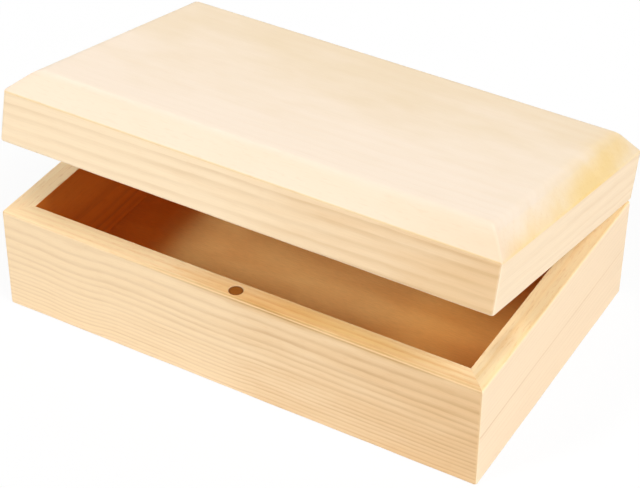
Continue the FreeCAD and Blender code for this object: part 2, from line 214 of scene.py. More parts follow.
def make_piece(name, parts, body, cad_node, material):
    """Join parts, each (points in millimetres, faces), to one mesh in metres, weld its seams,
    turn its faces outwards, and let it ride on a body in place of the CAD node."""
    points, faces, offset = [], [], 0
    for part_points, part_faces in parts:
        points.append(part_points)
        faces += [tuple(int(v) + offset for v in face) for face in part_faces]
        offset += len(part_points)
    mesh = bpy.data.meshes.new(name)
    mesh.from_pydata((np.concatenate(points) * MM).tolist(), [], faces)
    work = bmesh.new()
    work.from_mesh(mesh)
    bmesh.ops.remove_doubles(work, verts=work.verts, dist=WELD)
    bmesh.ops.dissolve_degenerate(work, edges=work.edges, dist=NO_EDGE)
    bmesh.ops.recalc_face_normals(work, faces=work.faces)
    work.to_mesh(mesh)
    work.free()
    mesh.polygons.foreach_set("use_smooth", np.ones(len(mesh.polygons), bool))
    mesh.set_sharp_from_angle(angle=math.radians(SHARP_FROM))
    mesh.materials.append(material)
    piece = bpy.data.objects.new(name, mesh)
    bpy.context.scene.collection.objects.link(piece)
    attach(piece, body)
    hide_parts(cad_node)


def colour(code):
    """Linear colour of an sRGB hex value."""
    srgb = np.array([int(code[i:i + 2], 16) for i in (1, 3, 5)]) / 255
    linear = np.where(srgb <= 0.04045, srgb / 12.92, ((srgb + 0.055) / 1.055) ** 2.4)
    return (*linear.tolist(), 1.0)


def add_node(tree, kind, inputs=None, **settings):
    """Add a node, named without its "ShaderNode", set it up and fill its inputs.  An input is
    a number, a hex colour, a socket, or a node, which stands for its first output in use."""
    node = tree.nodes.new("ShaderNode" + kind)
    for key, value in settings.items():
        setattr(node, key, value)
    for key, value in (inputs or {}).items():
        if isinstance(value, bpy.types.Node):
            value = next(socket for socket in value.outputs if socket.enabled)
        if isinstance(value, bpy.types.NodeSocket):
            tree.links.new(value, node.inputs[key])
        else:
            node.inputs[key].default_value = colour(value) if isinstance(value, str) else value
    return node


def blank(group, name):
    """A new material or world without nodes, and add_node for its tree."""
    owner = group.new(name)
    owner.use_nodes = True
    owner.node_tree.nodes.clear()
    return owner, partial(add_node, owner.node_tree)


def lead_curve(curve, points, handle):
    """Lead a curve node's line through (0..1, 0..1) points, with handles of one type."""
    line = curve.mapping.curves[0]
    for _ in points[2:]:
        line.points.new(0.5, 0.5)
    for point, place in zip(line.points, points):
        point.location, point.handle_type = place, handle
    curve.mapping.update()


# how dark the wood is at shares of a ring's width, from the end of one year to that of the next
LATE_WOOD = ((0, 0.75), (0.12, 0.0), (0.42, 0.05), (0.66, 0.40), (0.86, 1.15), (1.0, 0.95))
SWAY_SPAN, SWAY_RANGE = 240, 6          # mm along the grain and mm of rise that a sway covers
RESIN = "#d9a869"


def pine(name, heart, grain, tones, figure, wander, waver=0.35, ring=None, growth=None,
         sway=None, marked=None, faces=(), tints=(), clouds=(40, 7), flecks=0.1,
         silk=(0.965, 1.025), edges=("#fdecd2", 0.25)):
    """Planed pine, cut from a log.  Everything is measured from the log's heart, a line through
    the point `heart` along the X of the rotation `grain`: a yearly ring is a step in the
    distance from that line, so the same rings run round all faces of a board.  Early wood is
    pale, late wood is a darker line that ends sharply, and fibres and resin canals run along
    the grain.  A ring is `ring` mm wide, or `growth` tells at which distances known ones end.
    `figure` is the strength of the lines at the board's two ends, and `marked` the number of
    one ring and what is added to it.  The grain strays by `wander` and `waver` mm, and rises by
    `sway` at places along it.  `faces` gives the faces that look another way their own colours,
    strength of lines and flecks, coming in between two cosines of the angle to that way.
    `tints` are cloudy places where resin or heartwood colours the board, and on some rims and
    edges they paint shade; `clouds` is how long and wide those clouds are.  `silk` is the range
    of brightness of the fibres, and `edges` the tone and strength painted on the edges that
    sandpaper has rounded: a painted highlight where it is paler than the board, and painted
    shade that holds the edge's highlight back where it is darker."""
    material, node = blank(bpy.data.materials, name)
    place = node("TexCoord").outputs
    log = node("Mapping", {"Vector": place["Object"], "Location": [v * MM for v in heart],
                           "Rotation": grain, "Scale": (MM, MM, MM)}, vector_type="TEXTURE")
    along = node("SeparateXYZ", {0: log})        # the log is in millimetres, X along the grain

    def stretched(long, wide, detail=2.0, roughness=0.5):
        """Noise whose clouds are `long` mm in the grain's direction and `wide` mm across it."""
        drawn = node("VectorMath", {0: log, 1: (1 / long, 1 / wide, 1 / wide)},
                     operation="MULTIPLY")
        return node("TexNoise", {"Vector": drawn, "Scale": 1.0, "Detail": detail,
                                 "Roughness": roughness})

    # the grain bends slowly over some tens of millimetres, and a little over ten
    across = node("VectorMath", {0: log, 1: (0, 1, 1)}, operation="MULTIPLY")
    for bends, most in ((stretched(55, 26, 3.0, 0.55), wander), (stretched(13, 8, 1.0), waver)):
        shift = node("VectorMath", {0: bends.outputs["Color"], 1: (0, 2 * most, 2 * most),
                                    2: (0, -most, -most)}, operation="MULTIPLY_ADD")
        across = node("VectorMath", {0: across, 1: shift}, operation="ADD")
    if sway:
        part = node("Math", {0: along, 1: 1 / SWAY_SPAN, 2: 0.5}, operation="MULTIPLY_ADD")
        rise = node("FloatCurve", {"Value": part})
        lead_curve(rise, [(at / SWAY_SPAN + 0.5, lift / SWAY_RANGE + 0.5) for at, lift in sway],
                   "AUTO")
        lift = node("Math", {0: rise, 1: SWAY_RANGE, 2: -SWAY_RANGE / 2},
                    operation="MULTIPLY_ADD")
        raised = node("CombineXYZ", {2: lift})
        across = node("VectorMath", {0: across, 1: raised}, operation="SUBTRACT")
    distance = node("VectorMath", {0: across}, operation="LENGTH")

    # number of the ring, from the distances at which known rings end, or from its width
    if growth:
        reach, count = growth[-1]
        part = node("Math", {0: distance, 1: reach}, operation="DIVIDE")
        grown = node("FloatCurve", {"Value": part})
        lead_curve(grown, [(at / reach, number / count) for at, number in growth], "VECTOR")
        rings = node("Math", {0: grown, 1: count}, operation="MULTIPLY")
    else:
        uneven = node("TexNoise", {"W": distance, "Scale": 0.23 / ring, "Detail": 1.0},
                      noise_dimensions="1D")
        steps = node("Math", {0: distance, 1: ring}, operation="DIVIDE")
        rings = node("Math", {0: uneven, 1: 1.6, 2: steps}, operation="MULTIPLY_ADD")
    year = node("Math", {0: rings}, operation="FLOOR")
    season = node("Math", {0: rings}, operation="FRACT")
    late = node("ValToRGB", {0: season})
    late.color_ramp.interpolation = "B_SPLINE"
    for at, _ in LATE_WOOD[1:-1]:
        late.color_ramp.elements.new(at)
    for element, (at, dark) in zip(late.color_ramp.elements, LATE_WOOD):
        element.position, element.color = at, (dark, dark, dark, 1)

    # no year is like the next, and the lines come and go along the board
    yearly = node("TexWhiteNoise", {"W": year}, noise_dimensions="1D")
    weight = node("MapRange", {0: yearly, 3: 0.45, 4: 1.0})
    if marked:
        this = node("Math", {0: year, 1: marked[0], 2: 0.5}, operation="COMPARE")
        weight = node("Math", {0: this, 1: marked[1], 2: weight}, operation="MULTIPLY_ADD")
    patches = node("MapRange", {0: stretched(35, 4), 1: 0.3, 2: 0.7, 3: 0.5, 4: 1.15})
    fade = node("MapRange", {0: along, 1: -HALF_LENGTH, 2: HALF_LENGTH,
                             3: figure[0], 4: figure[1]})
    lines = late
    for factor in (weight, patches, fade):
        lines = node("Math", {0: lines, 1: factor}, operation="MULTIPLY")

    wood = node("Mix", {0: lines, 6: tones[0], 7: tones[1]}, data_type="RGBA")
    for direction, early_tone, late_tone, strength, more_flecks, *cosines in faces:
        begins, full = cosines or (0.6, 0.85)
        facing = node("VectorMath", {0: place["Normal"], 1: direction}, operation="DOT_PRODUCT")
        turned_to = node("MapRange", {0: facing, 1: begins, 2: full},
                         interpolation_type="SMOOTHSTEP")
        drawn = node("Math", {0: lines, 1: strength}, operation="MULTIPLY", use_clamp=True)
        face = node("Mix", {0: drawn, 6: early_tone, 7: late_tone}, data_type="RGBA")
        wood = node("Mix", {0: turned_to, 6: wood, 7: face}, data_type="RGBA")
        flecks = node("Math", {0: turned_to, 1: more_flecks, 2: flecks},
                      operation="MULTIPLY_ADD")

    # a tint is full at its centre and gone at its reach, with a cloudy edge
    cloudy = stretched(*clouds, detail=3.0)
    for centre, reach, tint in tints:
        near = node("Mapping", {"Vector": place["Object"], "Location": [v * MM for v in centre],
                                "Scale": [v * MM for v in reach]}, vector_type="TEXTURE")
        away = node("VectorMath", {0: near}, operation="LENGTH")
        ragged = node("Math", {0: cloudy, 1: 0.8, 2: away}, operation="MULTIPLY_ADD")
        amount = node("MapRange", {0: ragged, 1: 1.4, 2: 0.5}, interpolation_type="SMOOTHSTEP")
        wood = node("Mix", {0: amount, 6: wood, 7: tint}, data_type="RGBA",
                    blend_type="MULTIPLY")

    # an edge rounded by sandpaper is known by its normal, which lies on no axis of the board;
    # the tone put on it is a painted highlight, or painted shade where it is darker
    if edges:
        turned_back = node("Mapping", {"Vector": place["Normal"], "Rotation": grain},
                           vector_type="TEXTURE")
        sizes = node("VectorMath", {0: turned_back}, operation="ABSOLUTE")
        most, *others = node("SeparateXYZ", {0: sizes}).outputs
        for size in others:
            most = node("Math", {0: most, 1: size}, operation="MAXIMUM")
        edge = node("MapRange", {0: most, 1: 0.98, 2: 0.80, 3: 0.0, 4: edges[1]})
        wood = node("Mix", {0: edge, 6: wood, 7: edges[0]}, data_type="RGBA")

    # bundles of fibres, half a millimetre wide and a few centimetres long, and short resin
    # canals, both coarser than real ones so that they show
    fibre = stretched(22, 0.5, 3.0, 0.6)
    sheen = node("MapRange", {0: fibre, 1: 0.3, 2: 0.7, 3: silk[0], 4: silk[1]})
    shade = node("VectorMath", {0: wood, "Scale": sheen}, operation="SCALE")
    fleck = node("MapRange", {0: stretched(5, 0.8, 3.0, 0.6), 1: 0.52, 2: 0.72, 3: 0.0,
                              4: flecks}, interpolation_type="SMOOTHSTEP")
    wood = node("Mix", {0: fleck, 6: shade, 7: RESIN}, data_type="RGBA", blend_type="MULTIPLY")

    # late wood is denser and takes a little more polish, and stands a hair proud after sanding
    polish = node("MapRange", {0: lines, 3: 0.62, 4: 0.48})
    relief = node("Math", {0: fibre, 1: 0.6, 2: lines}, operation="MULTIPLY_ADD")
    bump = node("Bump", {"Height": relief, "Strength": 0.35, "Distance": 0.05 * MM})
    shader = node("BsdfPrincipled", {"Base Color": wood, "Roughness": polish, "Normal": bump})
    node("OutputMaterial", {"Surface": shader})
    return material


def log_along_x(rise):
    """A log that lies along the box and rises by so many degrees towards +X."""
    return Euler((0, math.radians(-rise), 0))


def log_along_y(rise):
    """A log that lies from front to back and rises by so many degrees towards +Y."""
    return Euler((math.radians(rise), 0, math.radians(90)))


RIM_TONES = ("#f3d9ac", "#e3b37b")
# inner faces: a honey brown deepened to orange, which paints the warm shade inside the box
INSIDE_TONES_WITH_PAINTED_SHADE = ("#fcb868", "#d68e48")
base_front_pine = pine(
    "planed_pine_front_wall", heart=(0, -49, 48), grain=log_along_x(0.45),
    tones=("#f0d5ad", "#cca577"), figure=(0.40, 0.70), wander=0.3, waver=0.25,
    growth=[(0, 0), (9, 1), (12, 2), (15, 3), (18.2, 4), (20.1, 5), (21.3, 6), (23.6, 7),
            (26.5, 8), (28.6, 9), (31.2, 10), (34.1, 11), (50.2, 20), (68.1, 30)],
    sway=[(-120, 0.2), (-93, 0.15), (-76, -0.9), (-53, 0.9), (-35, 0.5), (0, -0.4),
          (14, 0.25), (60, 0), (120, 0)],
    faces=[((0, 0, 1), *RIM_TONES, 1.0, 0.1), ((0, 1, 0), *INSIDE_TONES_WITH_PAINTED_SHADE, 1.0, 0.1)],
    # the second tint, a thin darker line along the top outer edge, is partly the wood's own line
    # and partly painted shade that holds back the edge's highlight, and the darker edge tone below
    # is painted shade
    tints=[((150, -69, 26), (210, 7, 140), "#efe2d0"), ((40, -69, 48), (150, 1.7, 1.7), "#c9bd92"),
           # these two tints paint shade on the front rim
           ((45, -64, 48), (80, 9, 4), "#f3e4c0"), ((10, -64, 48), (45, 9, 4), "#f8ecde")],
    edges=("#e2bf90", 0.85))
base_right_pine = pine(
    "planed_pine_right_wall", heart=(150, 0, -40), grain=log_along_y(0.8),
    tones=("#fbe1bf", "#d6ac76"), figure=(0.16, 0.10), wander=0.35, waver=0.15,
    growth=[(0, 0), (66, 30), (68.9, 31), (70.8, 32), (72.5, 33), (74.0, 34), (76.3, 35),
            (95, 44), (120, 55)],
    marked=(34, 3.0), flecks=0.03,
    faces=[((0, 0, 1), "#ffe6b6", "#f8cc84", 4.0, 0.22),
           # the right wall's inner face: a stronger orange, painted shade
           ((-1, 0, 0), "#ffb04a", "#f29a3a", 4.0, 0.1)],
    # these tints paint shade on the right rim's front half
    tints=[((103.5, -60, 48), (6.5, 45, 4), "#e8e8ea"), ((104, -40, 48), (7, 16, 4), "#e9e3e0")],
    edges=("#ffe9c4", 0.5))
base_left_pine = pine(
    "planed_pine_left_wall", heart=(-60, 0, 45), grain=log_along_y(-0.6),
    tones=("#f5d9b0", "#d3a469"), figure=(0.5, 0.5), wander=0.4,
    growth=[(0, 0), (39.6, 11), (46.0, 12), (50.2, 13), (53.2, 14), (56.2, 15), (59.2, 16),
            (65, 18), (90, 26)],
    faces=[((0, 0, 1), "#ffe8bc", "#fbd6a0", 1.0, 0.2),
           # the left wall's inner face: deep red-orange, painted shade of the box's darkest corner
           ((1, 0, 0), "#f89638", "#bc6420", 0.9, 0.1)],
    # the tint paints shade on the near end of the left rim; the paler edge tone is a painted
    # highlight
    tints=[((-105, -74, 48), (12, 34, 4), "#efe4dc")], edges=("#ffdcb0", 0.8))
base_back_pine = pine(
    "planed_pine_back_wall", heart=(0, 118, 66), grain=log_along_x(-0.5),
    tones=("#f3d6a9", "#cf9e63"), figure=(0.6, 0.4), wander=1.2, ring=2.4,
    faces=[((0, 0, 1), *RIM_TONES, 0.8, 0.1), ((0, -1, 0), *INSIDE_TONES_WITH_PAINTED_SHADE, 1.0, 0.1)])
for side, seed, wood in (("front", 11, base_front_pine), ("right", 12, base_right_pine),
                         ("back", 13, base_back_pine), ("left", 14, base_left_pine)):
    make_piece(f"{side}_wall_board", board_points(side, 0.0, RIM, seed, meeting=1),
               "base", f"base_{side}_wall", wood)

# ------------------------------------------------------------------------
# Bottom.  One sheet of 3 mm birch plywood, glued up into the rabbet and flush with the
# underside.  Its face veneer is peeled from the log, so its figure is broad and faint.
PANEL_X, PANEL_Y, PANEL_THICK, PANEL_EASE, PANEL_RIM = 104.8, 63.8, 3.0, 0.2, 2.0
PANEL_PARTS = (40, 26)
EASE_MIDDLE = 0.3              # where the point in the middle of a small ease lies, as a share


def level_grid(half_x, half_y, parts, level):
    """A flat rectangle at one level: x and y are products of even steps."""
    x, y = np.meshgrid(*(np.linspace(-1, 1, count + 1) for count in parts))
    points = np.stack([x * half_x, y * half_y, 0 * x + level], -1)
    return points.reshape(-1, 3), grid_faces(parts[1] + 1, parts[0] + 1)


def panel_points():
    """A thin slab: a closed outline of insets and levels is carried round a rectangle, and a
    flat grid closes it above and below."""
    inset = np.array([PANEL_RIM, PANEL_EASE, EASE_MIDDLE * PANEL_EASE, 0])
    level = np.array([0, 0, EASE_MIDDLE * PANEL_EASE, PANEL_EASE])
    inset = np.concatenate([inset, inset[::-1]])[:, None]
    level = np.concatenate([level, PANEL_THICK - level[::-1]])[:, None]
    nx, ny = PANEL_PARTS
    xs, ys = np.linspace(-1, 1, nx + 1)[:-1], np.linspace(-1, 1, ny + 1)[:-1]
    x = np.concatenate([xs, np.full(ny, 1), -xs, np.full(ny, -1)]) * (PANEL_X - inset)
    y = np.concatenate([np.full(nx, -1), ys, np.full(nx, 1), -ys]) * (PANEL_Y - inset)
    edge = np.stack([x, y, 0 * x + level], -1).reshape(-1, 3)
    flats = [level_grid(PANEL_X - PANEL_RIM, PANEL_Y - PANEL_RIM, PANEL_PARTS, z)
             for z in (0.0, PANEL_THICK)]
    return [(edge, grid_faces(*x.shape, wrap=True)), *flats]


def birch_plywood():
    """Peeled birch veneer: broad, cloudy bands some centimetres wide, drawn out along X, with
    short pores, coarser than real ones so that they show.  The underside is pale, and the face
    veneer inside is honey brown, deepened to paint the warm shade inside the box."""
    material, node = blank(bpy.data.materials, "birch_plywood_peeled_veneer")
    place = node("TexCoord").outputs
    bands, pores = (node("VectorMath", {0: place["Object"], 1: [1 / (v * MM) for v in size]},
                         operation="MULTIPLY") for size in ((50, 16, 16), (4, 0.6, 0.6)))
    cloud = node("TexNoise", {"Vector": bands, "Scale": 1.0, "Detail": 3.0, "Distortion": 0.6})
    pore = node("TexNoise", {"Vector": pores, "Scale": 1.0, "Detail": 2.0})
    band = node("MapRange", {0: cloud, 1: 0.32, 2: 0.68})
    bare = node("Mix", {0: band, 6: "#f1dab2", 7: "#e4c594"}, data_type="RGBA")
    wood = node("Mix", {0: band, 6: "#fdd086", 7: "#f2bc74"}, data_type="RGBA")
    # the left end of the face veneer has the shadow of the left wall painted on, deep red-brown,
    # and towards the right end the veneer is darker and redder
    split = node("SeparateXYZ", {0: place["Object"]})
    ragged = node("Math", {0: cloud, 1: 16 * MM, 2: split}, operation="MULTIPLY_ADD")
    for begins, full, tint in ((-56, -76, "#f5ba7c"), (13, 72, "#f6e4c8")):
        darker_end = node("MapRange", {0: ragged, 1: begins * MM, 2: full * MM},
                   interpolation_type="SMOOTHSTEP")
        wood = node("Mix", {0: darker_end, 6: wood, 7: tint}, data_type="RGBA", blend_type="MULTIPLY")
    facing = node("SeparateXYZ", {0: place["Normal"]})
    inside = node("MapRange", {0: facing.outputs["Z"], 1: 0.1, 2: 0.6})
    wood = node("Mix", {0: inside, 6: bare, 7: wood}, data_type="RGBA")
    dots = node("MapRange", {0: pore, 1: 0.35, 2: 0.7, 3: 1.02, 4: 0.93})
    shade = node("VectorMath", {0: wood, "Scale": dots}, operation="SCALE")
    bump = node("Bump", {"Height": pore, "Strength": 0.3, "Distance": 0.04 * MM})
    shader = node("BsdfPrincipled", {"Base Color": shade, "Roughness": 0.6, "Normal": bump})
    node("OutputMaterial", {"Surface": shader})
    return material


make_piece("plywood_bottom", panel_points(), "base", "base_bottom_panel",
           birch_plywood())

# ------------------------------------------------------------------------
# Lid rails.  Four more mitred boards of the same pine, 21 mm high, square at the top, where the
# lid's board is glued on.  They are worked out as they lie with the lid closed and then swung
# open with the lid about the hinge pins.
LID_FOOT, LID_SEAM = 48.3, 69.5
lid_joint = frame["joints"][0]
HINGE_Y, HINGE_Z = (v / MM for v in lid_joint["pos_m"][1:])
LID_ANGLE = math.radians(-lid_joint["range_deg"][0])


def swing(points):
    """Turn points, front upwards, about the hinge axis by the lid's angle a:
    y' = Y + (y - Y) cos a + (z - Z) sin a and z' = Z - (y - Y) sin a + (z - Z) cos a."""
    x, y, z = points[..., 0], points[..., 1] - HINGE_Y, points[..., 2] - HINGE_Z
    cosine, sine = math.cos(LID_ANGLE), math.sin(LID_ANGLE)
    return np.stack([x, HINGE_Y + y * cosine + z * sine, HINGE_Z - y * sine + z * cosine], -1)


def lid_point(x, y, z):
    """A point of the closed lid, swung open with it."""
    return tuple(swing(np.array([x, y, z], float)))


def swung(direction):
    """A direction on the closed lid, swung open with it."""
    axis = np.array([0, HINGE_Y, HINGE_Z])
    return tuple(swing(axis + direction) - axis)


def swung_log(log):
    """A log of the closed lid, swung open with it."""
    return (Matrix.Rotation(-LID_ANGLE, 3, "X") @ log.to_matrix()).to_euler()


LID_INSIDE_TONES = ("#fbdcae", "#deae74")
under, rearward = swung((0, 0, -1)), swung((0, 1, 0))
forward = tuple(-v for v in rearward)
lid_front_pine = pine(
    "planed_pine_lid_front", heart=lid_point(0, 21, -2), grain=swung_log(log_along_x(0.86)),
    tones=("#eed7b5", "#c9a575"), figure=(0.35, 0.6), wander=0.3, waver=0.2, flecks=0.05,
    growth=[(0, 0), (103.3, 40), (105.6, 41), (108.1, 42), (111.1, 43), (113.6, 44), (121.4, 47)],
    faces=[(under, *RIM_TONES, 0.8, 0.1), (rearward, *LID_INSIDE_TONES, 1.0, 0.1)],
    tints=[(lid_point(150, -69, 58), (190, 60, 140), "#eedfca")])
lid_right_pine = pine(
    "planed_pine_lid_right", heart=lid_point(170, 0, 90), grain=swung_log(log_along_y(0.3)),
    tones=("#fbe3c2", "#dcb682"), figure=(0.0, 0.45), wander=0.9, ring=2.2, flecks=0.03,
    faces=[(under, *RIM_TONES, 1.5, 0.1), ((-1, 0, 0), *LID_INSIDE_TONES, 2.0, 0.1)])
lid_left_pine = pine(
    "planed_pine_lid_left", heart=lid_point(-150, 0, 20), grain=swung_log(log_along_y(-0.5)),
    tones=("#f5d9b0", "#d3a469"), figure=(0.5, 0.4), wander=1.2, ring=2.6,
    faces=[(under, *RIM_TONES, 0.8, 0.1), ((1, 0, 0), *LID_INSIDE_TONES, 1.0, 0.1)])
lid_back_pine = pine(
    "planed_pine_lid_back", heart=lid_point(0, 140, 110), grain=swung_log(log_along_x(-0.6)),
    tones=("#f3d6a9", "#cf9e63"), figure=(0.5, 0.5), wander=1.0, ring=2.5,
    faces=[(under, *RIM_TONES, 0.8, 0.1), (forward, *LID_INSIDE_TONES, 1.0, 0.1)])
for side, seed, wood in (("front", 21, lid_front_pine), ("right", 22, lid_right_pine),
                         ("back", 23, lid_back_pine), ("left", 24, lid_left_pine)):
    parts = [(swing(points), faces)
             for points, faces in board_points(side, LID_FOOT, LID_SEAM, seed, meeting=-1)]
    make_piece(f"lid_{side}_rail_board", parts, "lid", f"lid_{side}_rail", wood)

# ------------------------------------------------------------------------
# Lid board.  One wide, pale, flat-sawn pine board, glued on the rails with its grain along the
# box.  A thin upright edge stands flush with the rails, and a bevel runs up all four sides to
# the flat top.  The end bevels cut across the fibres, so they are yellower and speckled.
TOP_LEVEL, BEVEL_FOOT, BEVEL_WIDTH, FLAT_INSET = 79.1, 70.3, 9.0, 14.0
CREASE_REACH, FOOT_REACH, SEAM_EASE, CORNER_EASE = 3.0, (0.5, 0.7), 0.15, 1.2
BESIDE = 0.6                   # how far a point stands from a curve, to keep the flat flat
BEVEL_ROWS = (0.1, 0.3, 0.5, 0.7)       # where rows of points lie on the bevel, as shares
LID_PARTS, ARC_PARTS = (48, 30), 6


def lid_board_points():
    """An outline of (inset, level), from the underside round the edge and up the bevel to the
    top, is carried round a rectangle whose corners are eased by a quarter circle: a point lies
    at the rectangle's reach less its inset, and the corner's arc shrinks to nothing on the
    flat.  A flat grid closes the board above and below."""
    bevel = np.array([BEVEL_WIDTH, TOP_LEVEL - BEVEL_FOOT])
    upwards = bevel / np.linalg.norm(bevel)
    foot, head = np.array([0.0, BEVEL_FOOT]), np.array([BEVEL_WIDTH, TOP_LEVEL])
    outline = np.concatenate([
        [(FLAT_INSET, LID_SEAM), (BESIDE, LID_SEAM)],
        parabola((SEAM_EASE, LID_SEAM), (0, LID_SEAM), (0, LID_SEAM + SEAM_EASE), steps=2),
        parabola(foot - (0, FOOT_REACH[0]), foot, foot + FOOT_REACH[1] * upwards, steps=5),
        foot + np.outer(BEVEL_ROWS, bevel),
        parabola(head - CREASE_REACH * upwards, head, head + (CREASE_REACH, 0), steps=8),
        [(BEVEL_WIDTH + CREASE_REACH + BESIDE, TOP_LEVEL), (FLAT_INSET, TOP_LEVEL)]])
    inset, level = outline[:, :1], outline[:, 1:]
    fading = (FLAT_INSET - inset) / (FLAT_INSET - BEVEL_WIDTH - CREASE_REACH)
    ease = CORNER_EASE * np.clip(fading, 0, 1)

    # round the rectangle: each corner's arc, then even parts of the side that follows it
    nx, ny = LID_PARTS
    sides = []
    for start, (from_x, from_y), (go_x, go_y), count in (
            (180, (-1, -1), (2, 0), nx), (270, (1, -1), (0, 2), ny),
            (0, (1, 1), (-2, 0), nx), (90, (-1, 1), (0, -2), ny)):
        angle = np.radians(start + np.linspace(0, 90, ARC_PARTS + 1))
        angle = np.concatenate([angle, np.full(count - 1, angle[-1])])
        part = np.concatenate([np.zeros(ARC_PARTS + 1), np.linspace(0, 1, count + 1)[1:-1]])
        sides.append([from_x + go_x * part, from_y + go_y * part, np.cos(angle), np.sin(angle)])
    side_x, side_y, arc_x, arc_y = np.concatenate(sides, 1)
    x = side_x * (HALF_LENGTH - inset - ease) + ease * arc_x
    y = side_y * (HALF_DEPTH - inset - ease) + ease * arc_y
    points = np.stack([x, y, 0 * x + level], -1).reshape(-1, 3)
    parts = [(points, grid_faces(*x.shape, wrap=True))]
    for z in (LID_SEAM, TOP_LEVEL):
        parts.append(level_grid(HALF_LENGTH - FLAT_INSET, HALF_DEPTH - FLAT_INSET, LID_PARTS, z))
    return [(swing(points), faces) for points, faces in parts]


# a normal's share of this direction grows evenly as it turns from the top's to the front bevel's
bevel_normal = np.array([0, BEVEL_FOOT - TOP_LEVEL, BEVEL_WIDTH])
bevel_turn = bevel_normal / np.linalg.norm(bevel_normal) - (0, 0, 1)
half_turn = np.linalg.norm(bevel_turn) / 2
bevel_turn = swung(bevel_turn / (2 * half_turn))
END_TONES = ("#ffeaca", "#f8dca6", 1.0, 0.2)
lid_board_pine = pine(
    "planed_pine_lid_board", heart=lid_point(0, 10, -25), grain=swung_log(log_along_x(-0.4)),
    tones=("#f8e6d1", "#e8c598"), figure=(0.04, 0.12), wander=1.6, ring=2.6,
    clouds=(32, 16), flecks=0.03, silk=(0.985, 1.01), edges=None,
    faces=[(bevel_turn, "#f1d5bd", "#e3be8f", 1.0, 0.05, -half_turn, half_turn),
           (swung((0, -1, 0)), "#e6cca0", "#cda878", 1.0, 0.05, 0.8, 0.97),
           ((1, 0, 0), *END_TONES), ((-1, 0, 0), *END_TONES),
           (under, *LID_INSIDE_TONES, 3.0, 0.1)],
    tints=[(lid_point(0, 85, 79), (300, 250, 40), "#f4efdf"),
           (lid_point(113, -45, 71), (11, 55, 11), "#fff2ce"),
           (lid_point(110, 20, 74), (18, 190, 16), "#fff9e4"),
           (lid_point(109, 25, 73), (11, 190, 11), "#fff9df"),
           (lid_point(130, -69, 70), (90, 24, 24), "#fbf4ea")])
make_piece("bevelled_lid_board", lid_board_points(), "lid", "lid_top_board",
           lid_board_pine)

# ------------------------------------------------------------------------
# Magnets.  Two pressed neodymium discs, 6 mm across, sunk a little under the front rim and
# under the lid's front rail, so that they pull the lid shut without touching.  Their flat brown
# paints the reflection of the shaded wood above them, with a darker ring of painted shade round
# the edge.
MAGNET_RADIUS, MAGNET_THICK, MAGNET_EASE, MAGNET_SUNK, CATCH_Y = 2.97, 3.0, 0.2, 0.4, -64.0
MAGNET_FLAT, MAGNET_STEPS = 2.17, 64    # radius of the flat's last points, and points round


def eased_end(radius, ease):
    """The (radius, depth) profile of a round end's eased edge, from its face outwards."""
    middle = EASE_MIDDLE * ease
    return [(radius - ease, 0), (radius - middle, middle), (radius, ease)]


def turned(end, foot, head, steps, dent=0.0):
    """A round body between two heights: the profile (radius, depth) of its end, mirrored for
    the other end, is turned about an upright line, x = r cos a and y = r sin a.  `dent` is
    taken off the outer radii at each angle.  If the profile begins off the axis it is a ring."""
    end = np.array(end)
    bore = end[0, 0]
    profile = np.concatenate([end + (0, foot), end[::-1] * (1, -1) + (0, head)])
    angle = np.linspace(0, 2 * math.pi, steps, endpoint=False)
    radius = profile[:, :1] - dent * (profile[:, :1] > bore) + 0 * angle
    height = profile[:, 1:] + 0 * angle
    points = np.stack([radius * np.cos(angle), radius * np.sin(angle), height], -1)
    faces = grid_faces(len(profile) + (bore > 0), steps, wrap=True) % radius.size
    return points.reshape(-1, 3), faces


def brown_painted_reflection(name, centre, tilt):
    """A pressed disc in a flat warm brown with a soft gloss, a little uneven in clouds.  The brown
    paints the reflection of the shaded wood above the disc, and the darker ring round its edge
    paints the shade of the bore.  `centre` and `tilt` say where the disc lies."""
    material, node = blank(bpy.data.materials, name)
    here = node("TexCoord").outputs["Object"]
    disc = node("Mapping", {"Vector": here, "Location": [v * MM for v in centre],
                            "Rotation": (tilt, 0, 0), "Scale": (MM, MM, MM)},
                vector_type="TEXTURE")
    flat = node("VectorMath", {0: disc, 1: (1, 1, 0)}, operation="MULTIPLY")
    radius = node("VectorMath", {0: flat}, operation="LENGTH")
    # the darker ring round the disc's edge is painted shade of the bore
    rim = node("MapRange", {0: radius, 1: 1.8, 2: 2.8, 3: 0.0, 4: 0.75},
               interpolation_type="SMOOTHSTEP")
    cloud = node("TexNoise", {"Vector": here, "Scale": 1 / (1.5 * MM), "Detail": 3.0})
    tone = node("Mix", {0: cloud, 6: "#985a19", 7: "#7e450f"}, data_type="RGBA")
    tone = node("Mix", {0: rim, 6: tone, 7: "#6e3c0c"}, data_type="RGBA")
    gloss = node("MapRange", {0: cloud, 1: 0.3, 2: 0.7, 3: 0.35, 4: 0.5})
    bump = node("Bump", {"Height": cloud, "Strength": 0.3, "Distance": 0.02 * MM})
    shader = node("BsdfPrincipled", {"Base Color": tone, "Roughness": gloss, "Normal": bump})
    node("OutputMaterial", {"Surface": shader})
    return material


